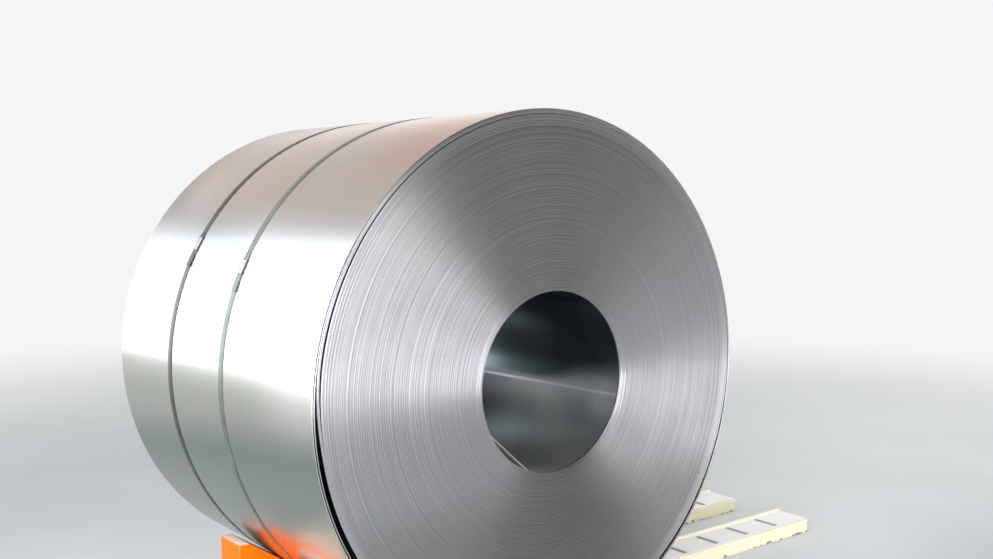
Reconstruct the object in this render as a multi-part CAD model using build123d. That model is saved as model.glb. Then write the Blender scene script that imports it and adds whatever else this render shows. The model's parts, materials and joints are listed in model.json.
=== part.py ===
from build123d import *
import math
import os

os.makedirs("parts", exist_ok=True)

# Millimetres. The coil's axis runs along Y and its loose end faces -Y. Z is up from the floor.

# The wound strip
COIL_W = 1500.0
COIL_R = 905.0
BORE_R = 305.0
STRIP_T = 3.0
BORE_OFF = 10.0  # the loose laps leave the bore this far to one side of the outside's centre

# Its outermost laps, which hang loose at the near end
LOOSE_DEEP = 300.0
LAP_SLACK = 2.0  # between the two loose laps
LAP_OFF = 1.6  # the second lap hangs this far up and to the right of the first
WIDE_SLACK = 9.0  # between the loose laps and the tight ones
TIGHT_OFF = (8.0, 10.0)  # where the tight laps are centred

# Its two ends
TAIL_END = 285.0  # degrees round from +X, under the coil
TAIL_RUN = 25.0  # degrees over which the surface comes back up
TAIL_STEP = 2.2
HEAD_FROM = 209.0
HEAD_TO = 248.0
HEAD_BACK = 1.2
MOUTH_DEEP = 150.0
MOUTH_STEP = 1.2

# Laps that stand back on the near end, as (place, depth): so many laps out from the bore,
# a share of the way from the bore to the rim, and so many laps in from the rim
NEAR_BY_BORE = ((0, 2.4), (2, 3.4), (4, 0.8), (7, 2.8), (9, 0.8))
NEAR_BETWEEN = ((0.15, 1.6), (0.36, 0.7), (0.60, 1.7), (0.82, 0.5))
NEAR_BY_RIM = ((12, 2.2), (8, 0.6), (4, 0.0))
# and on the far end
FAR_BY_BORE = ((0, 1.6), (3, 0.6))
FAR_BETWEEN = ((0.30, 1.6), (0.70, 0.6))
FAR_BY_RIM = ((6, 0.0),)

# The bands round it
STRAP_W = 31.75
STRAP_T = 1.0
STRAP_IN = 604.0  # from the near end to the front band's middle
STRAP_PITCH = 420.0
SEAL_AT = {"front": 154.6, "rear": 150.4}
SEAL_L = 52.0
SEAL_T = 1.3
SEAL_PLAY = 0.4
LAYER_GAP = 2.2  # between the band's two layers inside its seal
RAMP_L = 30.0
FREE_L = 85.0
FREE_LIFT = 3.0
CRIMP_L = 8.0
CRIMP_D = 2.6

# The rails on the floor
RAIL_L = 4000.0
RAIL_H = 65.0
RAIL_WALL = 9.0
RAIL_BEND = 10.0
RAIL_IN = 408.0  # from the near end to the front rail's near face
RAIL_PITCH = 440.0
LIP_W = 14.0
LIP_H = 10.0
GROOVE_PITCH = 210.0
GROOVE_END = 200.0  # at least this much is left bare at each end of a rail
GROOVE_W = 26.0
GROOVE_L = 130.0
GROOVE_D = 4.0

# The chocks on the rails
COIL_GAP = 30.0  # from the rails' top to the coil
CHOCK_L = 500.0
CHOCK_H = 308.0
CHOCK_W = 156.0
CHOCK_FLAT = 40.0
CHOCK_TOE = 6.0
CHOCK_EASE = 5.0
CHOCK_IN = 2.0  # back from the rail's near face
CHOCK_PLAY = 2.0  # to the rail's lip

TOUCH = 0.2  # left between two pieces that rest on each other

AXIS_Z = RAIL_H + COIL_GAP + COIL_R
NEAR = -COIL_W / 2
FAR = COIL_W / 2
SECOND_R = COIL_R - STRIP_T - LAP_SLACK
TIGHT_R = SECOND_R - STRIP_T - WIDE_SLACK
RAIL_W = CHOCK_IN + CHOCK_W + CHOCK_PLAY + LIP_W
RAIL_Y = {"front": NEAR + RAIL_IN, "rear": NEAR + RAIL_IN + RAIL_PITCH}
STRAP_Y = {"front": NEAR + STRAP_IN, "rear": NEAR + STRAP_IN + STRAP_PITCH}


def at(r, degrees):
    """A point of the cross-section, which is drawn as (x, height) about the outside's centre."""
    a = math.radians(degrees)
    return (r * math.cos(a), r * math.sin(a))


def arc_deg(length, r):
    return math.degrees(length / r)


def disc(r, x=0.0, y=0.0):
    return Pos(x, y) * Circle(r)


def sector(r_in, r_out, a0, a1):
    """A stretch of a ring, from angle a0 to a1."""
    am = (a0 + a1) / 2
    return make_face(
        [
            ThreePointArc(at(r_in, a0), at(r_in, am), at(r_in, a1)),
            Line(at(r_in, a1), at(r_out, a1)),
            ThreePointArc(at(r_out, a1), at(r_out, am), at(r_out, a0)),
            Line(at(r_out, a0), at(r_in, a0)),
        ]
    )


def leaf(a0, r0, a1, r1, thick, sag=0.0):
    """A bent piece of band whose underside goes from radius r0 at a0 to r1 at a1."""
    am, rm = (a0 + a1) / 2, (r0 + r1) / 2 - sag
    return make_face(
        [
            ThreePointArc(at(r0, a0), at(rm, am), at(r1, a1)),
            Line(at(r1, a1), at(r1 + thick, a1)),
            ThreePointArc(at(r1 + thick, a1), at(rm + thick, am), at(r0 + thick, a0)),
            Line(at(r0 + thick, a0), at(r0, a0)),
        ]
    )


def along_y(sketch, y0, y1):
    """A cross-section run from y0 to y1."""
    plane = Plane(origin=(0, y0, AXIS_Z), x_dir=(1, 0, 0), z_dir=(0, -1, 0))
    return extrude(plane * sketch, amount=-(y1 - y0))


def save(shape, name):
    shape.label = name
    export_step(shape, "parts/%s.step" % name)


def ring_radii(by_bore, between, by_rim):
    """Where each ring of an end begins, with how far it stands back."""
    build = TIGHT_R - BORE_R
    rings = [(BORE_R + laps * STRIP_T, back) for laps, back in by_bore]
    rings += [(BORE_R + share * build, back) for share, back in between]
    rings += [(TIGHT_R - laps * STRIP_T, back) for laps, back in by_rim]
    return rings


def end_line(rings, face, inward, first_r, last_r):
    """The stepped line of an end, from the bore outwards."""
    starts = [first_r] + [r for r, back in rings[1:]] + [last_r]
    points = []
    for (r, back), r0, r1 in zip(rings, starts, starts[1:]):
        points += [(r0, face + inward * back), (r1, face + inward * back)]
    return points


def make_coil():
    # the turned body: one half section, with its steps, about the bore's axis
    mouth_r = BORE_R + MOUTH_STEP
    over_r = COIL_R + BORE_OFF + 2 * STRIP_T
    near = end_line(ring_radii(NEAR_BY_BORE, NEAR_BETWEEN, NEAR_BY_RIM), NEAR, 1, mouth_r, over_r)
    far = end_line(ring_radii(FAR_BY_BORE, FAR_BETWEEN, FAR_BY_RIM), FAR, -1, BORE_R, over_r)
    half = [(BORE_R, NEAR + MOUTH_DEEP), (mouth_r, NEAR + MOUTH_DEEP)] + near + far[::-1]
    points = [(BORE_OFF + r, y, AXIS_Z) for r, y in half]
    section = make_face(Polyline(*points, close=True).edges())
    wound = revolve(section, Axis((BORE_OFF, 0, AXIS_Z), (0, 1, 0)), 360)
    wound &= along_y(disc(COIL_R), NEAR, FAR)

    # crescents between the loose laps, and between them and the tight ones
    thin = disc(COIL_R - STRIP_T) - disc(SECOND_R, LAP_OFF, LAP_OFF)
    wide = disc(SECOND_R - STRIP_T, LAP_OFF, LAP_OFF) - disc(TIGHT_R, *TIGHT_OFF)
    for crescent in (thin, wide):
        wound -= along_y(crescent, NEAR - STRIP_T, NEAR + LOOSE_DEEP)

    # the strip's outer end
    tail = leaf(TAIL_END - TAIL_RUN, COIL_R + TOUCH, TAIL_END, COIL_R - TAIL_STEP, 3 * STRIP_T)
    wound -= along_y(tail, NEAR - STRIP_T, FAR + STRIP_T)

    # the strip's inner end, a flat that stands across the mouth of the bore
    half_angle = math.radians(HEAD_TO - HEAD_FROM) / 2
    chord = Pos(BORE_R * math.cos(half_angle) + STRIP_T / 2, 0) * Rectangle(
        STRIP_T, 2.2 * BORE_R * math.sin(half_angle)
    )
    head = Pos(BORE_OFF, 0) * Rot(0, 0, (HEAD_FROM + HEAD_TO) / 2) * chord
    head &= disc(mouth_r + STRIP_T / 3, BORE_OFF)
    return wound + along_y(head, NEAR + HEAD_BACK, NEAR + MOUTH_DEEP)


def make_strap(seal_at):
    """A band in cross-section: the ring, then the layer through the seal and its lifted free end."""
    r0 = COIL_R + TOUCH / 2
    r1 = r0 + STRAP_T
    up = r1 + LAYER_GAP
    half = arc_deg(SEAL_L / 2 + STRAP_T, up)
    ramp_from = seal_at - half - arc_deg(RAMP_L, up)
    free_to = seal_at + half + arc_deg(FREE_L, up)
    band = disc(r1) - disc(r0)
    band += leaf(ramp_from, r1 - STRAP_T / 2, seal_at - half, up, STRAP_T)
    band += sector(up, up + STRAP_T, seal_at - half, seal_at + half)
    return band + leaf(seal_at + half, up, free_to, up + FREE_LIFT, STRAP_T, sag=FREE_LIFT / 5)


def make_seal(seal_at, y):
    """The sleeve over both layers, with two crimps pressed into each edge."""
    low = COIL_R + TOUCH
    inner = COIL_R + TOUCH / 2 + 2 * STRAP_T + LAYER_GAP + TOUCH
    outer = inner + SEAL_T
    half = arc_deg(SEAL_L / 2, outer)
    room = STRAP_W / 2 + SEAL_PLAY
    wide = room + SEAL_T
    seal = along_y(sector(low, outer, seal_at - half, seal_at + half), y - wide, y + wide)
    seal -= along_y(sector(low - SEAL_T, inner, seal_at - 2 * half, seal_at + 2 * half), y - room, y + room)
    for share in (-0.5, 0.5):
        angle = seal_at + share * half
        x, z = at(outer, angle)
        for side in (-1, 1):
            crimp = Pos(x, y + side * wide, AXIS_Z + z) * Rot(0, -angle, 0) * Cylinder(CRIMP_L / 2, 2 * CRIMP_D)
            seal -= crimp
    return seal


def make_rail(y0):
    """A channel with its web up, a lip along the far edge and grooves across the web."""
    y1 = y0 + RAIL_W
    wall = RAIL_WALL
    outline = Polyline(
        (y0, 0), (y0 + wall, 0), (y0 + wall, RAIL_H - wall), (y1 - wall, RAIL_H - wall), (y1 - wall, 0), (y1, 0),
        (y1, RAIL_H + LIP_H), (y1 - LIP_W, RAIL_H + LIP_H), (y1 - LIP_W, RAIL_H), (y0, RAIL_H), close=True,
    )
    plane = Plane(origin=(-RAIL_L / 2, 0, 0), x_dir=(0, 1, 0), z_dir=(1, 0, 0))
    rail = extrude(plane * make_face(outline.edges()), amount=RAIL_L)
    inside = [e for e in rail.edges().filter_by(Axis.X) if abs(e.center().Z - RAIL_H + wall) < wall / 2]
    rail = fillet(inside, RAIL_BEND / 2)
    tops = [e for e in rail.edges().filter_by(Axis.X) if e.center().Z > RAIL_H - wall / 2]
    rail = fillet([e for e in tops if e.center().Y < y0 + wall / 2], RAIL_BEND)
    count = int((RAIL_L - 2 * GROOVE_END) / GROOVE_PITCH) + 1
    middle = y0 + (RAIL_W - LIP_W + RAIL_BEND) / 2
    groove = Box(GROOVE_W, GROOVE_L, 2 * GROOVE_D)
    for place in range(count):
        rail -= Pos((place - (count - 1) / 2) * GROOVE_PITCH, middle, RAIL_H) * groove
    return rail


def make_chock(side, y0):
    """A wedge with a short flat top, as far in as lets the coil rest on its slope."""
    slope = math.atan2(CHOCK_H - CHOCK_TOE, CHOCK_L - CHOCK_FLAT)
    drop = AXIS_Z - RAIL_H - CHOCK_TOE
    toe = (COIL_R + TOUCH - drop * math.cos(slope)) / math.sin(slope)
    end = toe + CHOCK_L
    outline = ((toe, 0), (end, 0), (end, CHOCK_H), (end - CHOCK_FLAT, CHOCK_H), (toe, CHOCK_TOE))
    points = [(side * x, RAIL_H - AXIS_Z + z) for x, z in outline]
    wedge = along_y(make_face(Polyline(*points, close=True).edges()), y0, y0 + CHOCK_W)
    eased = [e for e in wedge.edges() if e.center().Z > RAIL_H + 2 * CHOCK_TOE]
    return chamfer(eased, CHOCK_EASE)


for name, y in STRAP_Y.items():
    save(along_y(make_strap(SEAL_AT[name]), y - STRAP_W / 2, y + STRAP_W / 2), "strap_" + name)
    save(make_seal(SEAL_AT[name], y), "seal_" + name)
for name, y in RAIL_Y.items():
    save(make_rail(y), "rail_" + name)
    for side, way in (("left", -1), ("right", 1)):
        save(make_chock(way, y + CHOCK_IN), "chock_%s_%s" % (name, side))
save(make_coil(), "coil")
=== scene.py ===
# %% [markdown]
# # A coil of bright steel strip, strapped and chocked on its floor rails
#
# A mill winds its strip into a coil on an expanding mandrel, ties bands round it and sets it down with
# its bore level. Four wedge chocks on two steel rails keep it from rolling. Sizes and places come from
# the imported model, so this lesson only adds what the solids leave plain: the wound ends, the loose laps,
# the soft gloss of rolled steel, the paint and the light.

import json
import math
from collections import namedtuple

import bmesh
import bpy
from mathutils import Matrix, Vector


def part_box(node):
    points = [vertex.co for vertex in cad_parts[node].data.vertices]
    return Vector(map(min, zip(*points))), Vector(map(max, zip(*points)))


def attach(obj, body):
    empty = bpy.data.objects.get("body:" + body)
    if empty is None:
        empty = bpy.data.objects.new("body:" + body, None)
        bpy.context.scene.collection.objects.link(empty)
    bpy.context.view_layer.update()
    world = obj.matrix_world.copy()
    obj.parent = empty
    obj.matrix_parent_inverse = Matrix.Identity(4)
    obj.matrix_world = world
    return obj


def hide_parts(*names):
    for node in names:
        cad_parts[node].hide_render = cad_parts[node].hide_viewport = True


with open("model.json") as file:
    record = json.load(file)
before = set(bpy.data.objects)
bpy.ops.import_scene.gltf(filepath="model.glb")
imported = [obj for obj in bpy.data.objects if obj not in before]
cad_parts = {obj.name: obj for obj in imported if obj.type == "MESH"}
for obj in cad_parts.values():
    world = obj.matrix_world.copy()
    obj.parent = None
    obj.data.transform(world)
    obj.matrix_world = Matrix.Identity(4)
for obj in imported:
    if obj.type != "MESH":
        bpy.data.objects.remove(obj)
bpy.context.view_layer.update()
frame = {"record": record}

# %% [markdown]
# ## Sizes
#
# Everything is in metres. The bore's place and radius are read from the part's own mount, and the
# outside from the coil's box. The strip is 3 mm thick, and its two outermost laps hang loose at the
# near end, which leaves a dark crescent beside them.

# %% Sizes of the coil
bore = next(mount for mount in frame["record"]["mounts"] if mount["name"] == "bore")
BORE_R = bore["dims"]["r_mm"] / 1000
BORE_X, _, AXIS_Z = bore["pos_m"]
(coil_left, NEAR, _), (coil_right, FAR, _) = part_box("coil")
COIL_R = (coil_right - coil_left) / 2
STRIP = 0.003
TIGHT_R = 0.888  # outside of the laps that lie tight at the near end
SECOND_R = 0.900  # outside of the second lap from the outside
LOOSE_DEEP = 0.300  # depth of the gaps beside the loose laps
RIM = 0.0002  # rounding of a cut edge
TAIL_AT, TAIL_RUN, TAIL_STEP = 285.0, 25.0, 0.0022  # the strip's outer end, in degrees and metres
HEAD_FROM, HEAD_TO = 209.0, 248.0  # the flat in the bore, in degrees
NEAR_LAPS, FAR_LAPS = 194, 100  # tight laps that each end shows
print("coil", round(2 * COIL_R, 3), "across,", round(FAR - NEAR, 3), "wide, bore", 2 * BORE_R)

# %% [markdown]
# ## Small tools for node trees
#
# A long sum is hard to read as a list of nodes. `Wire` stands for one value inside a tree, and a plus or
# a times sign between two wires adds the Math node for it, in geometry trees and shader trees alike.

# %% Wires and nodes


def plug(tree, entry, value):
    """Gives a node's input a plain value, or a wire from another node."""
    if isinstance(value, Wire):
        tree.links.new(value.socket, entry)
    else:
        entry.default_value = value


class Wire:
    """A value in a node tree. Arithmetic between wires adds Math nodes."""

    def __init__(self, tree, socket):
        self.tree = tree
        self.socket = socket

    def math(self, operation, *others):
        values = dict(enumerate((self, *others)))
        return add(self.tree, "ShaderNodeMath", values, operation=operation)

    def __add__(self, other):
        return self.math("ADD", other)

    def __sub__(self, other):
        return self.math("SUBTRACT", other)

    def __mul__(self, other):
        return self.math("MULTIPLY", other)

    def __truediv__(self, other):
        return self.math("DIVIDE", other)

    def __rsub__(self, other):
        return add(self.tree, "ShaderNodeMath", {0: other, 1: self}, operation="SUBTRACT")

    def __rtruediv__(self, other):
        return add(self.tree, "ShaderNodeMath", {0: other, 1: self}, operation="DIVIDE")

    def step(self, start, end, low=0.0, high=1.0):
        """Runs smoothly from low to high while this value goes from start to end."""
        values = dict(enumerate((self, start, end, low, high)))
        return add(self.tree, "ShaderNodeMapRange", values, interpolation_type="SMOOTHSTEP")

    def near(self, middle, start, end):
        """Runs from 0 to 1 while the distance from the middle shrinks from start to end."""
        return (self - middle).math("ABSOLUTE").step(start, end)


def add(tree, kind, entries=None, result=0, **settings):
    """Adds a node, fills inputs by name or number and returns one of its outputs as a wire."""
    node = tree.nodes.new(kind)
    for name, value in settings.items():
        setattr(node, name, value)
    for name, value in (entries or {}).items():
        plug(tree, node.inputs[name], value)
    return Wire(tree, node.outputs[result])


def entries_of(tree, *names):
    """Wires from the tree's own inputs, by name."""
    node = tree.nodes.new("NodeGroupInput")
    return [Wire(tree, node.outputs[name]) for name in names]


def xyz(tree, x=0.0, y=0.0, z=0.0):
    """Three values as one vector."""
    return add(tree, "ShaderNodeCombineXYZ", {"X": x, "Y": y, "Z": z})


def axes(tree, vector):
    """One vector as its three values."""
    node = tree.nodes.new("ShaderNodeSeparateXYZ")
    plug(tree, node.inputs[0], vector)
    return [Wire(tree, socket) for socket in node.outputs]


# %% [markdown]
# ## From a tree to a mesh
#
# Each tree is run once and its result is kept as a plain mesh. Every piece goes through the same last
# steps: faces outwards, and corners sharp where they meet at a large angle.

# %% Geometry trees


def new_object(name, data):
    """Puts an object with this data in the scene."""
    made = bpy.data.objects.new(name, data)
    bpy.context.scene.collection.objects.link(made)
    return made


def evaluated(made):
    """The mesh that an object's modifiers give. The modifiers and the object go."""
    mesh = bpy.data.meshes.new_from_object(made.evaluated_get(bpy.context.evaluated_depsgraph_get()))
    made.modifiers.clear()
    bpy.data.objects.remove(made)
    return mesh


def geometry_tree(name, sizes):
    """A Geometry Nodes tree with a geometry input and one named input for each size."""
    tree = bpy.data.node_groups.new(name, "GeometryNodeTree")
    tree.interface.new_socket("Geometry", in_out="INPUT", socket_type="NodeSocketGeometry")
    for size, value in sizes.items():
        kind = "NodeSocketInt" if isinstance(value, int) else "NodeSocketFloat"
        tree.interface.new_socket(size, in_out="INPUT", socket_type=kind).default_value = value
    tree.interface.new_socket("Geometry", in_out="OUTPUT", socket_type="NodeSocketGeometry")
    return tree


def finish_tree(tree, geometry, *coats):
    """Ends a tree with real instances and smooth faces. Each coat is (material, faces)."""
    geometry = add(tree, "GeometryNodeRealizeInstances", {"Geometry": geometry})
    geometry = add(tree, "GeometryNodeSetShadeSmooth", {"Geometry": geometry})
    for material, faces in coats:
        entries = {"Geometry": geometry, "Selection": faces, "Material": material}
        geometry = add(tree, "GeometryNodeSetMaterial", entries)
    send(tree, geometry)


def grow(name, data, tree, sizes, sharp=35.0):
    """Runs a tree on a mesh or curve and returns the result as a plain mesh object."""
    seed = new_object(name + "_seed", data)
    modifier = seed.modifiers.new(tree.name, "NODES")
    modifier.node_group = tree
    sockets = [item for item in tree.interface.items_tree if item.in_out == "INPUT"]
    identifiers = {item.name: item.identifier for item in sockets}
    for size, value in sizes.items():
        modifier[identifiers[size]] = value
    return piece(name, evaluated(seed), sharp)


def to_mesh(work, name):
    """Ends work on a bmesh and gives it back as a mesh."""
    mesh = bpy.data.meshes.new(name)
    work.to_mesh(mesh)
    work.free()
    return mesh


def piece(name, mesh, sharp=35.0, *materials):
    """Puts a finished mesh in the scene, its faces outwards and its corners sharp."""
    work = bmesh.new()
    work.from_mesh(mesh)
    bmesh.ops.recalc_face_normals(work, faces=work.faces)
    work.to_mesh(mesh)
    work.free()
    mesh.set_sharp_from_angle(angle=math.radians(sharp))
    for material in materials:
        mesh.materials.append(material)
    made = new_object(name, mesh)
    triangles = sum(len(face.vertices) - 2 for face in mesh.polygons)
    print(name, len(mesh.vertices), "points,", triangles, "triangles")
    return made


# %% [markdown]
# ## Shared surface effects
#
# A few effects make most of the finishes here, so each is a node group with its own inputs: grain drawn
# out along the rolling direction, soft patches such as dust or tarnish, and chips that eat into paint
# along an edge. Each gives a mask from 0 to 1, which a material then puts to its own use.

# %% Shader groups


def shader_group(name, sizes, result):
    """An empty shader node group with named inputs and one output. A size of None is a vector."""
    tree = bpy.data.node_groups.new(name, "ShaderNodeTree")
    for size, value in sizes.items():
        kind = "NodeSocketVector" if value is None else "NodeSocketFloat"
        socket = tree.interface.new_socket(size, in_out="INPUT", socket_type=kind)
        if value is not None:
            socket.default_value = value
    tree.interface.new_socket(result, in_out="OUTPUT", socket_type="NodeSocketFloat")
    print("effect:", name)
    return tree


def send(tree, value):
    """Wires a value to a tree's output."""
    plug(tree, tree.nodes.new("NodeGroupOutput").inputs[0], value)


def place(tree, group, **entries):
    """Puts a shader group into a material with its own values."""
    return add(tree, "ShaderNodeGroup", entries, node_tree=group)


def noise(tree, vector, scale, detail=2.0, roughness=0.5):
    """Steady cloudy noise around a half."""
    entries = {"Vector": vector, "Scale": scale, "Detail": detail, "Roughness": roughness}
    return add(tree, "ShaderNodeTexNoise", entries)


def noise_line(tree, at, detail):
    """Steady noise along a line."""
    entries = {"W": at, "Scale": 1.0, "Detail": detail}
    return add(tree, "ShaderNodeTexNoise", entries, noise_dimensions="1D")


def make_grain():
    """Fine lines along one direction: noise that is squeezed across them and drawn out along them."""
    tree = shader_group("Rolled grain", {"Place": None, "Across": 900.0, "Along": 12.0}, "Mask")
    spot, across, along = entries_of(tree, "Place", "Across", "Along")
    u, v, _ = axes(tree, spot)
    fine = noise(tree, xyz(tree, u * along, v * across), 1.0, 3.0)
    broad = noise(tree, xyz(tree, u * along * 0.3, v * across * 0.08), 1.0, 2.0)
    send(tree, fine * 0.55 + broad * 0.45)
    return tree


def make_patches():
    """Soft cloudy patches with an edge as hard as Softness says."""
    tree = shader_group("Patches", {"Place": None, "Scale": 4.0, "Cover": 0.5, "Softness": 0.2}, "Mask")
    spot, scale, cover, softness = entries_of(tree, "Place", "Scale", "Cover", "Softness")
    cloud = noise(tree, spot, scale, 6.0, 0.6)
    middle = cover.math("MULTIPLY_ADD", -0.5, 0.75)
    send(tree, cloud.step(middle - softness, middle + softness))
    return tree


def make_chips():
    """Paint that is knocked off where Edge is near 1, with ragged borders."""
    tree = shader_group("Chips", {"Place": None, "Edge": 0.0, "Scale": 60.0, "Amount": 0.5}, "Mask")
    spot, edge, scale, amount = entries_of(tree, "Place", "Edge", "Scale", "Amount")
    ragged = noise(tree, spot, scale, 5.0, 0.65)
    send(tree, (ragged + edge * amount).step(0.88, 0.94))
    return tree


GRAIN, PATCHES, CHIPS = make_grain(), make_patches(), make_chips()


def rolled_grain(tree, across, along):
    """Rolling lines along U of the strip's own UV map."""
    unrolled = add(tree, "ShaderNodeUVMap", uv_map="strip")
    return place(tree, GRAIN, Place=unrolled, Across=across, Along=along)


def patches(tree, spot, scale, cover, softness):
    """Soft patches in the piece's own coordinates."""
    return place(tree, PATCHES, Place=spot, Scale=scale, Cover=cover, Softness=softness)


# %% [markdown]
# ## Building up a finish
#
# A finish starts from one colour, and tints go over it one after another like coats of paint, each only
# as strong as its mask.

# %% Tools for materials


def new_material(name):
    """A material with its Principled BSDF, and a wire with the Object coordinates."""
    material = bpy.data.materials.new(name)
    material.use_nodes = True
    tree = material.node_tree
    spot = add(tree, "ShaderNodeTexCoord", result="Object")
    print("finish:", name)
    return material, tree, tree.nodes["Principled BSDF"], spot


def blend(tree, share, first, second):
    """One colour turning into another."""
    first, second = [c if isinstance(c, Wire) else (*c, 1.0) for c in (first, second)]
    return add(tree, "ShaderNodeMix", {0: share, 6: first, 7: second}, result=2, data_type="RGBA")


def tinted(tree, colour, *tints):
    """Lays tints over a colour, each of them a (mask, colour) pair."""
    for share, tint in tints:
        colour = blend(tree, share, colour, tint)
    return colour


def coat(tree, shader, colour, roughness, height=None, depth=0.0002, metallic=0.0):
    """Wires the main inputs of a surface, with a bump of that depth in metres."""
    plug(tree, shader.inputs["Base Color"], colour)
    plug(tree, shader.inputs["Roughness"], roughness)
    shader.inputs["Metallic"].default_value = metallic
    if height is not None:
        bump = add(tree, "ShaderNodeBump", {"Height": height, "Distance": depth, "Strength": 1.0})
        plug(tree, shader.inputs["Normal"], bump)


def brushed(tree, shader, amount):
    """Draws highlights out across the grain, which runs along the piece's own U direction."""
    tangent = add(tree, "ShaderNodeTangent", direction_type="UV_MAP", uv_map="strip")
    plug(tree, shader.inputs["Tangent"], tangent)
    shader.inputs["Anisotropic"].default_value = amount
    shader.inputs["Anisotropic Rotation"].default_value = 0.25


def facing(tree):
    """Which way a surface faces, as three values."""
    return axes(tree, add(tree, "ShaderNodeNewGeometry", result="Normal"))


def turn_round(across, up):
    """The angle of a place round the coil's axis, from -pi to pi, with 0 at the right."""
    return (up - AXIS_Z).math("ARCTAN2", across - BORE_X)


# %% [markdown]
# ## Three finishes of one strip
#
# The strip's broad side left the last mill stand with a soft mirror: it shows a lamp as a blurred white
# band, and fine rolling lines run round the coil. Its cut edges, side by side on the end, are duller.
# Each lap catches the light a little differently, which draws the hair-fine rings. The edges all run
# round the axis, so the gloss on the end is drawn out towards and away from the bore, into two pale lobes
# at the left and right. Tints placed by height, depth and angle are painted light: painted shade,
# painted reflections and painted highlights, which stand for the colours that bright steel takes from
# the things around it.

# %% The strip's broad side


def strip_side():
    material, tree, shader, spot = new_material("strip_side")
    grain = rolled_grain(tree, 420.0, 9.0)
    haze = patches(tree, spot, 1.6, 0.55, 0.22)
    warm = patches(tree, spot, 2.7, 0.35, 0.2)
    film = patches(tree, spot, 7.0, 0.4, 0.15)

    # a level is a height that lies a little higher at the near end
    _, deep, height = axes(tree, spot)
    level = height + deep * 0.14
    # below the white band the steel gets painted shade, and a painted highlight near the near end
    below_band = level.step(1.12, 1.0)
    # a warm painted reflection in a streak below the band
    painted_reflection_streak = level.step(0.80, 0.87) * level.step(0.97, 0.90)
    # painted shade low on the side, fading out at the very bottom near the near end
    low = level.step(0.92, 0.74) * (level + deep.step(-0.5, 0.0) * 0.4).step(0.30, 0.60)
    # a bluish painted reflection above the white band
    painted_reflection_above_band = height.step(1.2, 1.3) * height.step(1.64, 1.46)
    near_end = deep.step(-0.25, -0.72)
    # a pinkish painted reflection on the crown at the near end
    painted_crown_reflection = near_end * height.step(1.62, 1.76)
    # a pale painted highlight high up at the far end
    painted_far_end_highlight = deep.step(0.2, 0.62) * height.step(1.42, 1.52) * height.step(1.78, 1.56)
    # a warm painted reflection of the chocks, low down towards the near end
    painted_chock_reflection = height.step(0.66, 0.45) * deep.step(0.05, -0.25)

    colour = tinted(
        tree,
        blend(tree, haze, (0.59, 0.58, 0.56), (0.53, 0.555, 0.535)),
        (warm * 0.45, (0.62, 0.52, 0.485)),
        (grain.step(0.35, 0.75) * 0.2, (0.46, 0.47, 0.47)),
        # painted shade below the band
        (below_band * 0.7, (0.57, 0.58, 0.50)),
        (film * 0.5, (0.49, 0.585, 0.55)),
        # a painted highlight below the band at the near end
        (below_band * near_end * 0.9, (0.82, 0.80, 0.78)),
        # the warm painted reflection in its streak
        (painted_reflection_streak * warm * 0.7, (0.66, 0.50, 0.46)),
        # painted shade low on the side
        (low * 0.95, (0.25, 0.31, 0.28)),
        # the bluish painted reflection above the band
        (painted_reflection_above_band * 0.8, (0.50, 0.61, 0.66)),
        # the pinkish painted reflection on the crown
        (painted_crown_reflection * 0.8, (0.56, 0.43, 0.40)),
        # the pale painted highlight at the far end
        (painted_far_end_highlight * 0.85, (0.90, 0.89, 0.90)),
        # the painted reflection of the chocks
        (painted_chock_reflection * 0.5, (0.66, 0.56, 0.53)),
    )
    coat(tree, shader, colour, haze * 0.04 + grain * 0.06 + 0.18, metallic=1.0)
    brushed(tree, shader, 0.2)
    return material


# %% The strip's cut edges


def strip_edge():
    """Rings by lap number, which is the whole part of the UV map's V. Its rest runs across the edge."""
    material, tree, shader, spot = new_material("strip_edge")
    _, lap, _ = axes(tree, add(tree, "ShaderNodeUVMap", uv_map="strip"))
    number = lap.math("FLOOR")
    groove = (lap - number).math("PINGPONG", 0.5).step(0.02, 0.14)
    fine = add(tree, "ShaderNodeTexWhiteNoise", {"W": number}, noise_dimensions="1D")
    run = noise_line(tree, number * 0.21, 3.0)
    fade = noise(tree, spot, 2.2, 3.0)
    tone = fine * 0.34 + run * 0.7 + (fade - 0.5) * 0.5
    smear = patches(tree, spot, 7.0, 0.4, 0.25)

    across, _, height = axes(tree, spot)
    turned = turn_round(across, height)
    colour = tinted(
        tree,
        blend(tree, tone.step(0.2, 0.9), (0.60, 0.595, 0.62), (0.74, 0.735, 0.765)),
        (smear * 0.25, (0.54, 0.565, 0.52)),
        # painted shade: the end is darker low down, where it mirrors the floor's shade, and in sectors
        # straight under the bore and above it
        (height.step(0.74, 0.50) * 0.72, (0.33, 0.335, 0.295)),
        (turned.near(-math.pi / 2, 0.75, 0.2) * 0.75, (0.28, 0.285, 0.25)),
        (turned.near(1.2, 0.65, 0.2) * 0.4, (0.38, 0.385, 0.36)),
        # a painted highlight makes the outermost laps paler, and the same tint makes the far end paler
        (lap.step(NEAR_LAPS - 18.0, NEAR_LAPS + 3.0) * 0.85, (0.86, 0.855, 0.88)),
    )
    colour = blend(tree, groove, (0.46, 0.46, 0.47), colour)
    roughness = fine * 0.03 + smear * 0.05 + 0.35
    coat(tree, shader, colour, roughness, groove + fine * 0.6, 0.000012, metallic=1.0)
    brushed(tree, shader, 0.92)
    return material


# %% The wall of the bore
# where the painted highlight line runs round the wall of the bore, and how it slants
HIGHLIGHT_LINE_AT, HIGHLIGHT_LINE_SLOPE = math.radians(15.0), math.radians(3.0)


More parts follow.
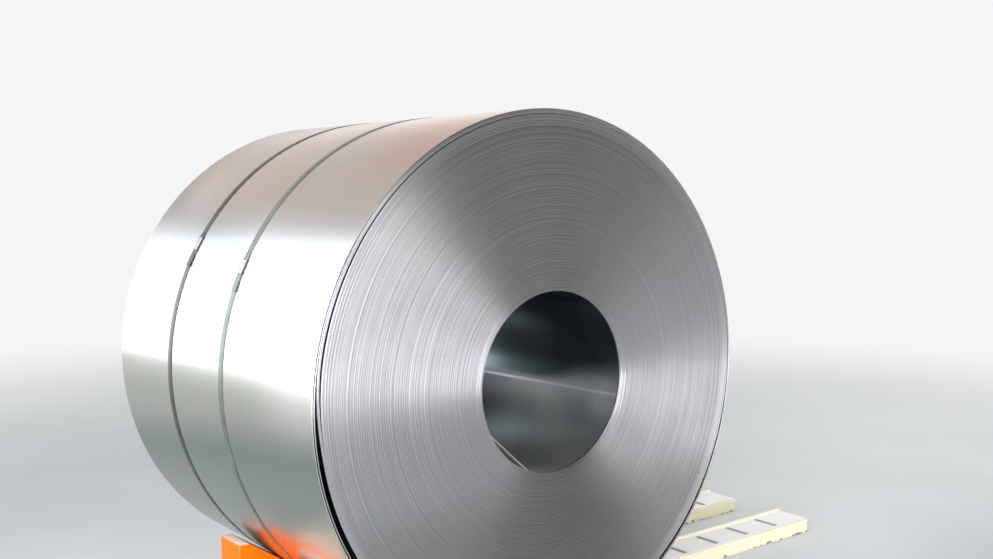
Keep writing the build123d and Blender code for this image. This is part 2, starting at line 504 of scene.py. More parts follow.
def strip_bore():
    """The broad side again, with painted shade on its upper wall and deep inside, a painted highlight
    line, and painted light on its lower wall.
    """
    material, tree, shader, spot = new_material("strip_bore")
    grain = rolled_grain(tree, 160.0, 7.0)
    oil = patches(tree, spot, 5.0, 0.5, 0.25)
    smudge = patches(tree, spot, 11.0, 0.4, 0.3)

    across, deep, up = axes(tree, spot)
    turned, inwards = turn_round(across, up), deep - NEAR
    # the painted highlight line along the wall, fading deeper in
    past_highlight_line = turned + inwards * HIGHLIGHT_LINE_SLOPE + HIGHLIGHT_LINE_AT
    painted_highlight_line = past_highlight_line.math("ABSOLUTE").step(0.0, 0.028, 1.0, 0.0) * inwards.step(0.5, 0.9, 0.8, 0.1)
    # painted shade on the upper wall above the highlight line, where the wall is also glossier
    painted_shade_upper_wall = past_highlight_line.step(-0.02, inwards.step(0.0, 0.45, 0.52, 0.12))
    painted_shade_upper_wall = painted_shade_upper_wall * turned.step(1.7, 2.2, 1.0, 0.0) * inwards.step(0.5, 0.9, 1.0, 0.85)
    # painted light on the lower wall
    painted_light_lower_wall = turned.step(-0.5, -1.3)

    colour = tinted(
        tree,
        blend(tree, oil, (0.52, 0.57, 0.57), (0.70, 0.71, 0.68)),
        (smudge * 0.5, (0.46, 0.48, 0.48)),
        # painted light on the lower wall
        (painted_light_lower_wall, (0.86, 0.84, 0.79)),
        # painted shade deep inside the bore
        (inwards.step(0.35, 0.75) * 0.95, (0.08, 0.085, 0.105)),
        # painted shade on the upper wall
        (painted_shade_upper_wall, (0.19, 0.26, 0.28)),
        # the painted highlight line
        (painted_highlight_line, (0.84, 0.84, 0.97)),
    )
    coat(tree, shader, colour, (oil + grain) * 0.06 + painted_shade_upper_wall * -0.16 + 0.32, metallic=1.0)
    brushed(tree, shader, 0.3)
    return material


STRIP_SIDE, STRIP_EDGE, STRIP_BORE = strip_side(), strip_edge(), strip_bore()

# %% [markdown]
# ## The wound body
#
# A coil follows one rule: a half section, turned once round the axis. The section is a closed line of
# stations, each with a radius, a place along the axis and its own centre, because the loose laps hang a
# little off the middle. Geometry Nodes turn that line, so every lap of both ends is one ring of the grid.
# A steady noise then pushes each lap back from the face, most of all beside the bore.

# %% The half section
STATION_VALUES = "radius along centre lap play edge tail loose"
Station = namedtuple("Station", STATION_VALUES, defaults=(0, 0, 0, 0, 0))
MIDDLE = (0.0, 0.0)
BORE_AT = (BORE_X, 0.0)
TIGHT_AT = (0.0068, 0.0083)
SECOND_AT = (0.00135, 0.00135)
HAIR = 0.0002  # half the gap between two laps
BUNDLE, BUNDLE_FAN = 3, 0.93  # laps that fan out far at the upper left
SLACKENED, SLACK_FAN = 24, 0.45  # laps under them that fan out less and less
SECOND_LAP, OUTER_LAP, FAR_FIRST_LAP = NEAR_LAPS + 2, NEAR_LAPS + 3, 500
DEEP = NEAR + LOOSE_DEEP
MOUTH = 0.006
PLAY, BORE_PLAY, RIM_PLAY = 0.00035, 0.0032, 0.0012
BORE_SHARE, RIM_SHARE = 0.07, 0.10


def between(first, second, share):
    return tuple(a + (b - a) * share for a, b in zip(first, second))


def lap_play(share):
    """How far a lap may stand back: most beside the bore, little in the body, some near the rim."""
    by_bore = BORE_PLAY * max(0.0, 1 - share / BORE_SHARE)
    by_rim = RIM_PLAY * max(0.0, 1 - (1 - share) / RIM_SHARE)
    return PLAY + by_bore + by_rim


def looseness(lap):
    """How much of the free room outside the tight laps each lap takes up where they fan out."""
    last_slack = NEAR_LAPS - BUNDLE - 1
    if lap > last_slack:
        return BUNDLE_FAN
    return SLACK_FAN * max(0.0, 1 - (last_slack - lap) / SLACKENED) ** 2


def wound_end(face, inward, last_r, last_at, laps, first_lap, loose):
    """The rings of one end from the bore outwards, two stations to a lap."""
    pitch = (last_r - BORE_R) / laps
    stations = []
    for lap in range(laps):
        share = (lap + 0.5) / laps
        at, play = between(BORE_AT, last_at, share), inward * lap_play(share)
        low, high = BORE_R + lap * pitch + HAIR, BORE_R + (lap + 1) * pitch - HAIR
        for radius, part in ((low, 0.001), (high, 0.999)):
            stations.append(Station(radius, face, at, first_lap + lap + part, play, 1, 0, loose(lap)))
    return stations


def at_depth(station):
    """The foot of a slot's wall, below a station of the face."""
    return station._replace(along=DEEP, play=0, edge=0)


def loose_lap(r_in, r_out, at, lap, tail):
    """One lap that hangs free at the near end: up its inside, over its edge and down its outside."""
    inner, outer = lap + 0.1, lap + 0.9
    return [
        Station(r_in, DEEP, at, inner),
        Station(r_in, NEAR + RIM, at, inner),
        Station(r_in + RIM, NEAR, at, inner, edge=1),
        Station(r_out - RIM, NEAR, at, outer, edge=1, tail=tail),
        Station(r_out, NEAR + RIM, at, outer, tail=tail),
    ]


def half_section():
    near = wound_end(NEAR, 1, TIGHT_R, TIGHT_AT, NEAR_LAPS, 0, looseness)
    body, bundle = near[: -2 * BUNDLE], near[-2 * BUNDLE :]
    second = loose_lap(SECOND_R - STRIP, SECOND_R, SECOND_AT, SECOND_LAP, 0)
    outer = loose_lap(COIL_R - STRIP, COIL_R, MIDDLE, OUTER_LAP, 1)
    far = wound_end(FAR, -1, COIL_R, MIDDLE, FAR_LAPS, FAR_FIRST_LAP, lambda lap: 0)
    wall = [Station(BORE_R, y, BORE_AT, edge=-1) for y in (FAR - MOUTH, NEAR + MOUTH)]
    front = body + [at_depth(body[-1]), at_depth(bundle[0])] + bundle + [at_depth(bundle[-1])]
    return front + second + [at_depth(second[-1])] + outer + far[::-1] + wall


section = half_section()
print("half section:", len(section), "stations")

# %% Geometry Nodes: turn the section
SEGMENTS = 144
SEAM = 0.0002  # the angle over which the strip's outer end steps down


def turning_tree():
    sizes = {"Segments": SEGMENTS, "Height": 1.0, "Tail Angle": math.radians(TAIL_AT)}
    sizes |= {"Tail Run": math.radians(TAIL_RUN), "Tail Step": TAIL_STEP, "Fan Until": 2.93}
    sizes |= {"Fan Fade": 0.42, "Fan Room": SECOND_R - STRIP - TIGHT_R, "Fan X": SECOND_AT[0]}
    sizes |= {"Fan Z": SECOND_AT[1], "Seed": 3.0}
    tree = geometry_tree("Turned section", sizes)
    wires = entries_of(tree, "Geometry", *sizes)
    line, segments, height, tail_at, tail_run, tail_step, until, fade, room, fan_x, fan_z, seed = wires
    stations = add(tree, "GeometryNodeAttributeDomainSize", {"Geometry": line}, result="Point Count")
    rows = stations + 1.0
    grid = add(tree, "GeometryNodeMeshGrid", {"Vertices X": segments + 2.0, "Vertices Y": rows})

    # which column and row of the grid a point is in, and the angle of that column
    index = add(tree, "GeometryNodeInputIndex")
    column = (index / rows + 0.0001).math("FLOOR")
    station = (index - column * rows).math("MODULO", stations)
    angle_step = 2 * math.pi / segments
    tail_column = (tail_at / angle_step).math("ROUND")
    after = column.math("GREATER_THAN", tail_column + 0.5)
    just_after = column.math("COMPARE", tail_column + 1.0, 0.5)
    angle = (column - after) * angle_step + just_after * SEAM

    def station_value(name):
        value = add(tree, "GeometryNodeInputNamedAttribute", {"Name": name}, data_type="FLOAT")
        entries = {"Geometry": line, "Value": value, "Index": station}
        return add(tree, "GeometryNodeSampleIndex", entries, data_type="FLOAT")

    names = ("radius", "along", "lap", "play", "edge", "tail", "loose", "at_x", "at_z")
    radius, along, lap, play, edge, tail, loose, at_x, at_z = [station_value(name) for name in names]
    number = lap.math("FLOOR")

    # on the upper left the loose laps fan out towards the lap that hangs outside them
    fanned = loose * angle.step(0.0, 0.9) * angle.step(until, until + fade, 1.0, 0.0)
    radius = radius + fanned * room
    at_x = at_x + (fan_x - at_x) * fanned
    at_z = at_z + (fan_z - at_z) * fanned

    # the outermost lap thins towards its end, and stops there in a step
    reach = (angle - (tail_at - tail_run)) / tail_run
    radius = radius - reach.math("MAXIMUM", 0.0) * tail_step * tail * (1.0 - after)

    # laps stand back from the face, each by its own amount, which varies a little on the way round
    own = noise_line(tree, number * 0.83 + seed, 1.0)
    slow = noise_line(tree, number * 0.06 + seed, 2.0)
    round_it = xyz(tree, angle.math("COSINE"), angle.math("SINE"), number * 0.4)
    sway = noise(tree, round_it, 0.9, 1.0)
    back = own.step(0.3, 0.7) * 0.55 + slow.step(0.35, 0.65) * 0.30 + sway * 0.15
    along = along + back * play

    x = at_x + radius * angle.math("COSINE")
    z = at_z + radius * angle.math("SINE") + height
    moved = add(tree, "GeometryNodeSetPosition", {"Geometry": grid, "Position": xyz(tree, x, along, z)})
    return tree, moved, angle, lap, along, edge


# %% The wound coil


def turned_coil():
    tree, moved, angle, lap, along, edge = turning_tree()

    def store(geometry, name, value, kind, domain="POINT"):
        entries = {"Geometry": geometry, "Name": name, "Value": value}
        return add(tree, "GeometryNodeStoreNamedAttribute", entries, data_type=kind, domain=domain)

    # the turn and the lap number of every corner become a UV map before the seam is closed
    is_edge = edge.math("GREATER_THAN", 0.5)
    across = lap * is_edge + along * (1.0 - is_edge)
    kept = store(moved, "edge", edge, "FLOAT")
    kept = store(kept, "unrolled", xyz(tree, angle / (2 * math.pi), across), "FLOAT_VECTOR")
    named = {"Name": "unrolled"}
    unrolled = add(tree, "GeometryNodeInputNamedAttribute", named, data_type="FLOAT_VECTOR")
    kept = store(kept, "strip", unrolled, "FLOAT2", "CORNER")
    closed = add(tree, "GeometryNodeMergeByDistance", {"Geometry": kept, "Distance": 0.00001})
    kind = add(tree, "GeometryNodeInputNamedAttribute", {"Name": "edge"}, data_type="FLOAT")
    ends, bore_wall = kind.math("GREATER_THAN", 0.9), kind.math("LESS_THAN", -0.9)
    finish_tree(tree, closed, (STRIP_SIDE, True), (STRIP_EDGE, ends), (STRIP_BORE, bore_wall))

    line = bpy.data.meshes.new("half_section")
    line.from_pydata([(s.radius, s.along, 0) for s in section], [], [])
    names = STATION_VALUES.replace("centre ", "").split()
    columns = {name: [getattr(s, name) for s in section] for name in names}
    columns["at_x"], columns["at_z"] = zip(*[s.centre for s in section])
    for name, values in columns.items():
        attribute = line.attributes.new(name, "FLOAT", "POINT")
        attribute.data.foreach_set("value", [float(v) for v in values])
    return grow("coil_wound", line, tree, {"Segments": SEGMENTS, "Height": AXIS_Z}, sharp=30.0)


coil = turned_coil()
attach(coil, "root")
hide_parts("coil")

# %% [markdown]
# ## The strip's inner end
#
# The mandrel's gripper leaves the first stretch of strip flat, so it crosses the bottom of the bore as a
# straight chord and leaves a sickle of shade behind it. A thin plate does for it, as long as both its
# edges run into the wall of the bore.

# %% The flat in the bore
HEAD_IN = 0.0012  # how far the flat stands back from both ends


def strip_uv(mesh):
    """Lays a UV map over a small metal piece: U across the coil's axis and V along it."""
    layer = mesh.uv_layers.new(name="strip")
    for loop, corner in zip(mesh.loops, layer.data):
        x, y, z = mesh.vertices[loop.vertex_index].co
        corner.uv = (x - z, y)


def prism(first, last):
    """A closed solid between two outlines with the same number of corners, as a bmesh."""
    work = bmesh.new()
    near = [work.verts.new(corner) for corner in first]
    far = [work.verts.new(corner) for corner in last]
    work.faces.new(near)
    work.faces.new(far[::-1])
    for i in range(len(near)):
        j = (i + 1) % len(near)
        work.faces.new((near[i], far[i], far[j], near[j]))
    bmesh.ops.recalc_face_normals(work, faces=work.faces)
    return work


def inner_end():
    half = math.radians(HEAD_TO - HEAD_FROM) / 2
    turned = math.radians((HEAD_FROM + HEAD_TO) / 2)
    stand, reach = BORE_R * math.cos(half), BORE_R * math.sin(half) * 1.01
    outline = ((stand, -reach), (stand + STRIP, -reach), (stand + STRIP, reach), (stand, reach))
    work = prism(*[[(x, y, z) for x, z in outline] for y in (NEAR + HEAD_IN, FAR - HEAD_IN)])
    bmesh.ops.bevel(work, geom=work.edges[:], offset=RIM, segments=2, affect="EDGES", profile=0.5)
    for vertex in work.verts:
        out, side = vertex.co.x, vertex.co.z
        vertex.co.x = BORE_X + out * math.cos(turned) - side * math.sin(turned)
        vertex.co.z = AXIS_Z + out * math.sin(turned) + side * math.cos(turned)
    mesh = to_mesh(work, "inner_end")
    strip_uv(mesh)
    return piece("coil_inner_end", mesh, 35.0, STRIP_BORE)


flat = inner_end()
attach(flat, "root")

# %% [markdown]
# ## The bands
#
# Each band is one length of flat strapping. It starts under the seal, goes once round the coil, climbs
# over its own start and passes through the seal again, and its cut end lifts away below. A tree sweeps a
# rounded rectangle along that path. The front band is a green grey and the rear one is darker.

# %% Sizes of the bands and seals
STRAP_W, STRAP_T = 0.03175, 0.001
STRAP_CORNER = 0.0003
LAYER_GAP = 0.0006
SEAL_L, SEAL_T, SEAL_PLAY = 0.052, 0.0013, 0.0004
SEAL_AT = {"front": 154.6, "rear": 150.4}
RAMP_L, FREE_L, FREE_LIFT, FREE_CURL = 0.030, 0.060, 0.0022, 1.4
ON_COIL = COIL_R + 0.0001
TURN = 0.6  # degrees between two points of the path


def strap_line(name):
    """(angle, radius) pairs along the middle of the band's thickness."""
    low = ON_COIL + STRAP_T / 2
    up = low + STRAP_T + LAYER_GAP
    half = math.degrees((SEAL_L / 2 + STRAP_T) / up)
    ramp, free = math.degrees(RAMP_L / up), math.degrees(FREE_L / up)
    start, span = SEAL_AT[name] - half, 360 + 2 * half + free + TURN
    count = round(span / TURN)
    pairs = []
    for i in range(count + 1):
        angle = start - TURN + i * span / count
        climb = min(max((angle - (start + 360 - ramp)) / ramp, 0.0), 1.0)
        lift = max((angle - (start + 360 + 2 * half)) / free, 0.0)
        radius = low + (up - low) * climb * climb * (3 - 2 * climb) + FREE_LIFT * lift**FREE_CURL
        pairs.append((angle, radius))
    return pairs


# %% Geometry Nodes: sweep a band


def band_tree(material):
    sizes = {"Width": STRAP_W, "Thickness": STRAP_T, "Corner": STRAP_CORNER}
    tree = geometry_tree("Band along a path", sizes)
    path, width, thickness, corner = entries_of(tree, "Geometry", *sizes)
    profile = add(tree, "GeometryNodeCurvePrimitiveQuadrilateral", {"Width": width, "Height": thickness})
    rounding = {"Curve": profile, "Radius": corner, "Count": 2}
    profile = add(tree, "GeometryNodeFilletCurve", rounding, mode="POLY")
    entries = {"Curve": path, "Profile Curve": profile, "Fill Caps": True}
    finish_tree(tree, add(tree, "GeometryNodeCurveToMesh", entries), (material, True))
    return tree


def band_steel(name, dark, light):
    material, tree, shader, spot = new_material(name)
    wear = patches(tree, spot, 9.0, 0.45, 0.2)
    grain = noise(tree, spot, 160.0, 4.0)
    colour = blend(tree, wear, dark, light)
    coat(tree, shader, colour, grain * 0.15 + wear * 0.08 + 0.27, grain, 0.00003, metallic=0.85)
    return material


BAND_STEEL = {
    "front": band_steel("band_green_grey", (0.16, 0.19, 0.175), (0.24, 0.285, 0.26)),
    "rear": band_steel("band_dark_grey", (0.085, 0.085, 0.075), (0.125, 0.125, 0.11)),
}


def strap(name, tree):
    low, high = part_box("strap_" + name)
    across = (low.y + high.y) / 2
    curve = bpy.data.curves.new("band_path", "CURVE")
    curve.dimensions = "3D"
    line = curve.splines.new("POLY")
    pairs = strap_line(name)
    line.points.add(len(pairs) - 1)
    for point, (angle, radius) in zip(line.points, pairs):
        turned = math.radians(angle)
        point.co = (radius * math.cos(turned), across, AXIS_Z + radius * math.sin(turned), 1.0)
    made = grow("band_" + name, curve, tree, {})
    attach(made, "root")
    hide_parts("strap_" + name)


for name in SEAL_AT:
    strap(name, band_tree(BAND_STEEL[name]))

# %% [markdown]
# ## The seals
#
# A seal is a short steel sleeve that is folded round both layers and pinched twice on each side, so that
# the notches lock the bands. It is made as one bent sheet: a grid whose rows follow the sleeve round,
# pinched where the tool bit, and then given its wall by a Solidify modifier. Painted shade darkens the
# steel at its cut ends, in its pinches and on its side walls, and a value on the points says where that
# is.

# %% Seal steel


def seal_steel():
    material, tree, shader, spot = new_material("seal_steel")
    painted_seal_shade = add(tree, "ShaderNodeAttribute", attribute_name="painted_seal_shade", result="Fac")
    scuff = patches(tree, spot, 120.0, 0.5, 0.15)
    colour = blend(tree, scuff, (0.34, 0.34, 0.29), (0.50, 0.50, 0.45))
    # painted shade at the cut ends, in the pinches and on the side walls
    colour = blend(tree, painted_seal_shade.step(0.25, 0.7) * 0.95, colour, (0.035, 0.033, 0.03))
    coat(tree, shader, colour, scuff * 0.12 + 0.32, scuff, 0.00004, metallic=0.9)
    return material


SEAL_STEEL = seal_steel()

# %% The pinched sleeves
SEAL_ROWS, SEAL_BEND = 40, 0.0016
# the painted shade reaches this far in from the sleeve's cut ends
CUT_DARK = 0.003  # how far in from its cut ends the sleeve is dark
PINCH_L, PINCH_IN, PINCH_DOWN = 0.0026, 0.17, 0.0012  # half length, share of the width, depth
PINCH_FROM, PINCH_FADE = 0.009, 0.008  # where a pinch starts across the sleeve
FOLD_TOP = 0.003  # the sleeve's roof lies higher than this


def sleeve_outline():
    """The sleeve's outer line from one lower edge over the top to the other, as (across, height)."""
    wide = STRAP_W / 2 + SEAL_PLAY + SEAL_T
    tall = 2 * STRAP_T + LAYER_GAP + 0.0002 + SEAL_T
    points = [(-wide, 0.0), (-wide, (tall - SEAL_BEND) / 2)]
    for i in range(5):
        out, up = math.cos(math.pi - i * math.pi / 8), math.sin(math.pi - i * math.pi / 8)
        points.append((-wide + SEAL_BEND + SEAL_BEND * out, tall - SEAL_BEND + SEAL_BEND * up))
    points.append((-wide / 2, tall))
    return points + [(0.0, tall)] + [(-x, y) for x, y in reversed(points)]


def bent_sheet(name, across):
    """The sleeve's outside as an open sheet, with a value on its points that places the painted shade."""
    outline = sleeve_outline()
    work = bmesh.new()
    painted_seal_shade = work.verts.layers.float.new("painted_seal_shade")
    grid = []
    for i in range(SEAL_ROWS + 1):
        place_along = (i / SEAL_ROWS - 0.5) * SEAL_L
        by_cut = max(0.0, 1 - (SEAL_L / 2 - abs(place_along)) / CUT_DARK)
        pinch = math.exp(-(((abs(place_along) - SEAL_L / 4) / PINCH_L) ** 2))
        turned = math.radians(SEAL_AT[name]) + place_along / COIL_R
        line = []
        for side, rise in outline:
            near_edge = min(max((abs(side) - PINCH_FROM) / PINCH_FADE, 0.0), 1.0)
            side *= 1 - PINCH_IN * pinch * near_edge
            rise -= PINCH_DOWN * pinch * near_edge * (rise > FOLD_TOP)
            radius = COIL_R + 0.0002 + rise
            at = (radius * math.cos(turned), across + side, AXIS_Z + radius * math.sin(turned))
            line.append(work.verts.new(at))
            # painted shade: full at the cut ends and in the pinches, 0.6 on the side walls
            line[-1][painted_seal_shade] = max(by_cut, pinch * near_edge, float(abs(side) > STRAP_W / 2) * 0.6)
        grid.append(line)
    for first, second in zip(grid, grid[1:]):
        for i in range(len(outline) - 1):
            work.faces.new((first[i], second[i], second[i + 1], first[i + 1]))
    top = grid[SEAL_ROWS // 2][len(outline) // 2].link_faces[0]
    top.normal_update()
    if top.normal.dot(Vector((math.cos(turned), 0, math.sin(turned)))) < 0:
        bmesh.ops.reverse_faces(work, faces=work.faces)
    return to_mesh(work, "seal_" + name)


def seal(name):
    low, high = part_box("seal_" + name)
    sheet = new_object("seal_sheet", bent_sheet(name, (low.y + high.y) / 2))
    wall = sheet.modifiers.new("wall", "SOLIDIFY")
    wall.thickness = SEAL_T
    wall.offset = -1.0
    thick = evaluated(sheet)
    thick.shade_smooth()
    made = piece("sleeve_" + name, thick, 40.0, SEAL_STEEL)
    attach(made, "root")
    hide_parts("seal_" + name)


for name in SEAL_AT:
    seal(name)

# %% [markdown]
# ## The chocks
#
# Four steel wedges in safety orange. A painted highlight makes their tops pale and their rounded corners
# a lighter orange, and the paint is chipped along the corners. The faces of each bevel carry an `edge`
# value, so the highlight and the wear know where the corners are.

# %% Orange paint


def chock_paint():
    material, tree, shader, spot = new_material("chock_paint")
    edge = add(tree, "ShaderNodeAttribute", attribute_name="edge", result="Fac")
    _, _, upward = facing(tree)
    cloud = patches(tree, spot, 5.0, 0.5, 0.25)
    scuff = patches(tree, spot, 38.0, 0.2, 0.06)
    bare = place(tree, CHIPS, Place=spot, Edge=edge, Scale=70.0, Amount=0.36)
    orange_peel = noise(tree, spot, 420.0, 2.0)
    shader.inputs["IOR"].default_value = 1.2
    colour = tinted(
        tree,
        blend(tree, cloud, (0.98, 0.14, 0.003), (1.0, 0.17, 0.005)),
        # a painted highlight along the rounded corners
        (edge * 0.35, (1.0, 0.26, 0.06)),
        (scuff * 0.10, (0.40, 0.07, 0.03)),
        # a painted highlight on the tops
        (upward.step(0.75, 1.0) * 0.8, (1.0, 0.78, 0.70)),
        (bare * 0.8, (0.42, 0.24, 0.17)),
    )
    coat(tree, shader, colour, cloud * 0.1 + scuff * 0.1 + 0.36, orange_peel - bare * 1.5, 0.00006)
    return material


CHOCK_PAINT = chock_paint()

# %% The wedges
CHOCK_FLAT, CHOCK_TOE, CHOCK_EASE = 0.040, 0.006, 0.005


def chock(name, side):
    low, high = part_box(name)
    toe, end = (low.x, high.x) if side > 0 else (high.x, low.x)
    flat_from = end - side * CHOCK_FLAT
    outline = ((toe, low.z), (end, low.z), (end, high.z), (flat_from, high.z), (toe, low.z + CHOCK_TOE))
    work = prism(*[[(x, y, z) for x, z in outline] for y in (low.y, high.y)])
    raised = [e for e in work.edges if sum(v.co.z for v in e.verts) / 2 > low.z + 2 * CHOCK_TOE]
    rounding = {"offset": CHOCK_EASE, "segments": 3, "affect": "EDGES", "profile": 0.5}
    corners = set(bmesh.ops.bevel(work, geom=raised, **rounding)["faces"])
    layer = work.verts.layers.float.new("edge")
    for vertex in work.verts:
        vertex[layer] = float(all(face in corners for face in vertex.link_faces))
    mesh = to_mesh(work, name)
    mesh.shade_smooth()
    made = piece("wedge_" + name.removeprefix("chock_"), mesh, 20.0, CHOCK_PAINT)
    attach(made, "root")
    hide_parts(name)


for row in ("front", "rear"):
    for hand, side in (("left", -1), ("right", 1)):
        chock("chock_%s_%s" % (row, hand), side)

# %% [markdown]
# ## The rails
#
# Two rolled channels lie web up on the floor. The web is painted white and crossed by shallow grooves,
# which get a grey painted shade, and the near flange is cream with chips along its foot. The grooves
# repeat, so Geometry Nodes set out the cutters on a line and take them from the channel.

# %% Rail paint
_, rail_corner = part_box("rail_front")
LIP_W, LIP_H = 0.014, 0.010
RAIL_TOP = rail_corner.z - LIP_H
# the painted shade in the grooves
GROOVE_SHADE = (0.36, 0.37, 0.36)


def rail_paint():
    material, tree, shader, spot = new_material("rail_paint")
    along, _, height = axes(tree, spot)
    sideways, _, up = facing(tree)
    upward = up.step(0.5, 0.9)
    groove_floor = height.step(RAIL_TOP - 0.0008, RAIL_TOP - 0.0025) * upward
    # a groove's walls face along the rail and lie near its top, as the rail's own ends do
    off_the_ends = (along * along).step(rail_corner.x**2 - 0.02, rail_corner.x**2 - 0.04)
    groove_wall = (sideways * sideways).step(0.5, 0.9) * height.step(RAIL_TOP - 0.006, RAIL_TOP - 0.004)
    foot = height.step(0.026, 0.002)
    bare = place(tree, CHIPS, Place=spot, Edge=foot, Scale=34.0, Amount=0.38)
    dirt = patches(tree, spot, 6.0, 0.35, 0.22)
    colour = tinted(
        tree,
        blend(tree, upward, (0.96, 0.92, 0.66), (0.95, 0.955, 0.93)),
        (dirt * 0.2, (0.66, 0.64, 0.52)),
        # painted shade on the floors and walls of the grooves
        (groove_floor, GROOVE_SHADE),
        (groove_wall * off_the_ends, GROOVE_SHADE),
        (bare, (0.17, 0.17, 0.155)),
    )
    grit = noise(tree, spot, 300.0, 3.0)
    coat(tree, shader, colour, dirt * 0.15 + 0.42, grit - bare * 2.0, 0.00012)
    return material


RAIL_PAINT = rail_paint()

# %% Geometry Nodes: cut the grooves
GROOVE_PITCH, GROOVE_W, GROOVE_L, GROOVE_D, GROOVE_END = 0.210, 0.026, 0.130, 0.004, 0.200
RAIL_WALL, RAIL_BEND = 0.009, 0.010


def groove_tree(material):
    sizes = {"Grooves": 3, "Pitch": GROOVE_PITCH, "Groove Width": GROOVE_W, "Groove Length": GROOVE_L}
    sizes |= {"Groove Depth": GROOVE_D, "Middle": 0.0, "Top": RAIL_TOP}
    tree = geometry_tree("Grooves across a rail", sizes)
    rail, count, pitch, width, length, depth, middle, top = entries_of(tree, "Geometry", *sizes)
    start = (count - 1.0) * pitch * -0.5
    places = {"Count": count, "Start Location": xyz(tree, start, middle, top), "Offset": xyz(tree, pitch)}
    line = add(tree, "GeometryNodeMeshLine", places)
    cutter = add(tree, "GeometryNodeMeshCube", {"Size": xyz(tree, width, length, depth * 2.0)})
    cutters = add(tree, "GeometryNodeInstanceOnPoints", {"Points": line, "Instance": cutter})
    cutters = add(tree, "GeometryNodeRealizeInstances", {"Geometry": cutters})
    meshes = {"Mesh 1": rail, "Mesh 2": cutters}
    cut = add(tree, "GeometryNodeMeshBoolean", meshes, "Mesh", operation="DIFFERENCE", solver="EXACT")
    finish_tree(tree, cut, (material, True))
    return tree


def channel(low, high):
    """The rail's section, with its near upper bend rounded, run along its length."""
    near_wall, far_wall, inner = low.y + RAIL_WALL, high.y - RAIL_WALL, RAIL_TOP - RAIL_WALL
    outline = [(low.y, 0.0), (near_wall, 0.0), (near_wall, inner), (far_wall, inner), (far_wall, 0.0)]
    outline += [(high.y, 0.0), (high.y, high.z), (high.y - LIP_W, high.z), (high.y - LIP_W, RAIL_TOP)]
    for i in range(7):
        turned = math.pi / 2 + i * math.pi / 12
        out, up = RAIL_BEND * math.cos(turned), RAIL_BEND * math.sin(turned)
        outline.append((low.y + RAIL_BEND + out, RAIL_TOP - RAIL_BEND + up))
    return to_mesh(prism(*[[(x, y, z) for y, z in outline] for x in (low.x, high.x)]), "channel")


tree = groove_tree(RAIL_PAINT)
for row in ("front", "rear"):
    low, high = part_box("rail_" + row)
    grooves = int((high.x - low.x - 2 * GROOVE_END) / GROOVE_PITCH) + 1
    middle = low.y + (high.y - low.y - LIP_W + RAIL_BEND) / 2
    made = grow("channel_" + row, channel(low, high), tree, {"Grooves": grooves, "Middle": middle}, 25.0)
    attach(made, "root")
    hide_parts("rail_" + row)

# %% [markdown]
# ## Floor and room
#
# Polished steel shows its surroundings, so the room is shaped for the reflections: pale behind the coil,
# darker in front and overhead. Far out the floor takes on the same tone, so that no horizon line shows,
# and a painted shade makes it darker in front of the near end, where the steel mirrors it.

# %% The tone of the room
BACK_TONE, FRONT_TONE, OVERHEAD_TONE, DARK_TONE = 0.92, 0.36, 0.22, 0.05


def make_room_tone():
    """The tone of the room in one direction."""
    tree = shader_group("Room tone", {"Direction": None}, "Tone")
    _, behind, rise = axes(tree, entries_of(tree, "Direction")[0])
    horizon = behind.step(-0.55, 0.15, FRONT_TONE, BACK_TONE)
    overhead = behind.step(-0.1, 0.5, DARK_TONE, OVERHEAD_TONE)
    fall = rise.step(0.17, behind.step(-0.1, 0.5, 0.29, 0.44))
    send(tree, horizon + (overhead - horizon) * fall)
    return tree


def cool(tree, tone):
    """A tone as a grey with a trace of blue."""
    return xyz(tree, tone * 0.985, tone, tone)


ROOM_TONE = make_room_tone()

# %% The floor
FLOOR_REACH = 400.0
FLOOR_FADES, FLOOR_GONE = 1.6, 9.0  # between these it turns into the tone of the room


def floor():
    material, tree, shader, spot = new_material("floor_grey")
    across, deep, _ = axes(tree, spot)
    cloud = noise(tree, spot, 0.7, 4.0)
    away = add(tree, "ShaderNodeVectorMath", {0: spot}, result="Value", operation="LENGTH")
    direction = add(tree, "ShaderNodeVectorMath", {0: spot}, operation="NORMALIZE")
    tone = place(tree, ROOM_TONE, Direction=direction)
    far_out = away.step(FLOOR_FADES, FLOOR_GONE)
    colour = tinted(
        tree,
        blend(tree, cloud.step(0.35, 0.7), (0.60, 0.635, 0.64), (0.66, 0.69, 0.695)),
        # painted shade on the floor in front of the near end, more of it to the right
        (deep.step(-0.6, -2.4) * across.step(-0.6, 1.1), (0.29, 0.295, 0.295)),
        (far_out, (0.0, 0.0, 0.0)),
    )
    coat(tree, shader, colour, 0.6)
    shader.inputs["IOR"].default_value = 1.0
    ray = tree.nodes.new("ShaderNodeLightPath")
    seen = Wire(tree, ray.outputs["Is Camera Ray"])
    for kind in ("Is Glossy Ray", "Is Transmission Ray"):
        seen = seen.math("MAXIMUM", Wire(tree, ray.outputs[kind]))
    glow = far_out * tone + (1.0 - far_out) * 0.03
    plug(tree, shader.inputs["Emission Color"], cool(tree, glow))
    plug(tree, shader.inputs["Emission Strength"], seen)
    mesh = bpy.data.meshes.new("floor")
    corners = [(x * FLOOR_REACH, y * FLOOR_REACH, 0) for x, y in ((-1, -1), (1, -1), (1, 1), (-1, 1))]
    mesh.from_pydata(corners, [], [(0, 1, 2, 3)])
    mesh.materials.append(material)
    made = new_object("floor", mesh)
    print("floor", 2 * FLOOR_REACH, "across")


floor()

# %% [markdown]
# ## Lamps
#
# Each lamp is a soft panel with one task. The side panel, far back on the left, draws the white band
# down the coil's side, and the weak warm one behind gives the crown its beige. The key panel fills the
# left lobe of the near end, and its skirt carries that on to near the floor, in a narrow beam that leaves
# no hard line there. The rest lift the near end, the bore, the rails and the top.

# %% World and lamps
KEY_WHITE, BEIGE = (1.0, 0.985, 1.06), (1.0, 0.78, 0.69)


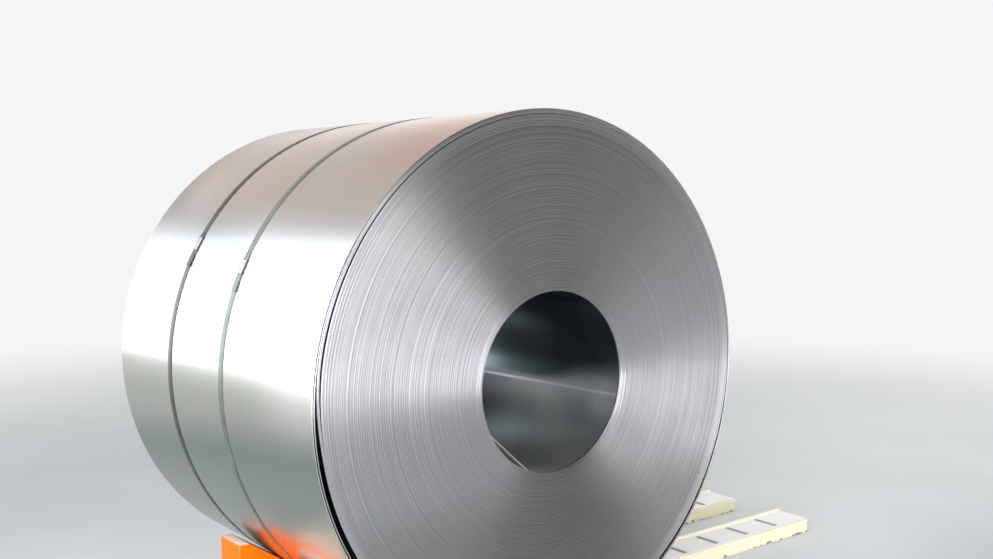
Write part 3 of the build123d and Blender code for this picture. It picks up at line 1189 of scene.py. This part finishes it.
def room():
    world = bpy.data.worlds.new("room")
    world.use_nodes = True
    bpy.context.scene.world = world
    tree = world.node_tree
    direction = add(tree, "ShaderNodeTexCoord", result="Generated")
    tone = place(tree, ROOM_TONE, Direction=direction)
    plug(tree, tree.nodes["Background"].inputs["Color"], cool(tree, tone))
    tree.nodes["Background"].inputs["Strength"].default_value = 1.0


def panel(name, at, aim, width, height, strength, lean=0.0, colour=(1.0, 1.0, 1.0), spread=180.0):
    """A soft lamp whose face glows at that strength. Its lean and its beam's spread are in degrees."""
    lamp = bpy.data.lights.new(name, "AREA")
    lamp.shape = "RECTANGLE"
    lamp.size, lamp.size_y = width, height
    lamp.color = colour
    lamp.energy = strength * math.pi * width * height
    lamp.spread = math.radians(spread)
    made = new_object(name, lamp)
    made.location = at
    turned = (Vector(aim) - Vector(at)).to_track_quat("-Z", "Y").to_matrix()
    made.rotation_euler = (turned @ Matrix.Rotation(math.radians(lean), 3, "Z")).to_euler()
    made.visible_camera = False
    print(name, width, "by", height, "at", at)


room()
coil_middle = (0.0, 0.0, 1.0)
panel("side_panel", (-7.6, 9.4, 3.57), (-7.6, 0.0, 3.57), 9.0, 11.0, 2.2, lean=-21.0)
panel("back_panel", (-0.6, 2.6, 3.74), (-0.6, 0.0, 3.74), 9.0, 2.5, 0.62, colour=BEIGE)
panel("key_panel", (-7.8, -6.0, 3.1), coil_middle, 9.1, 6.0, 9.0, colour=KEY_WHITE)
panel("key_skirt", (-5.0, -3.9, 0.33), (0.0, 0.0, 0.33), 6.0, 0.6, 1.9, colour=KEY_WHITE, spread=60.0)
panel("front_panel", (0.2, -6.5, 2.9), coil_middle, 2.4, 1.6, 4.5)
panel("front_strip", (2.3, -3.6, 0.5), (2.3, 0.0, 0.5), 5.3, 0.62, 0.22)
panel("upper_panel", (-2.6, -5.2, 5.2), coil_middle, 3.2, 2.0, 1.6)
panel("right_panel", (4.2, 0.4, 3.6), (1.5, -0.2, 0.0), 2.6, 2.6, 4.0)
panel("ceiling_panel", (-1.0, 1.5, 6.5), (-1.0, 1.0, 0.0), 5.0, 4.0, 1.0)

# %% [markdown]
# ## The camera
#
# The camera stands where the photograph was taken, at eye height. Its place, angles and focal length
# come from a fit to the rims of the coil and of its bore.

# %% Camera
EYE = (-2.409, -3.479, 1.635)
PITCH, TURNED = 85.42, -38.5
FOCAL_PIXELS, IMAGE_PIXELS, SENSOR = 1102.0, 993.0, 36.0


def camera():
    data = bpy.data.cameras.new("camera")
    data.sensor_width = SENSOR
    data.lens = SENSOR * FOCAL_PIXELS / IMAGE_PIXELS
    data.clip_end = 1000.0
    made = new_object("camera", data)
    made.location = EYE
    made.rotation_euler = (math.radians(PITCH), 0.0, math.radians(TURNED))
    bpy.context.scene.camera = made
    print("camera at", EYE, "lens", round(data.lens, 2))


camera()

# %% [markdown]
# ## The view transform
#
# Standard shows colours as they are written.

bpy.context.scene.view_settings.view_transform = "Standard"
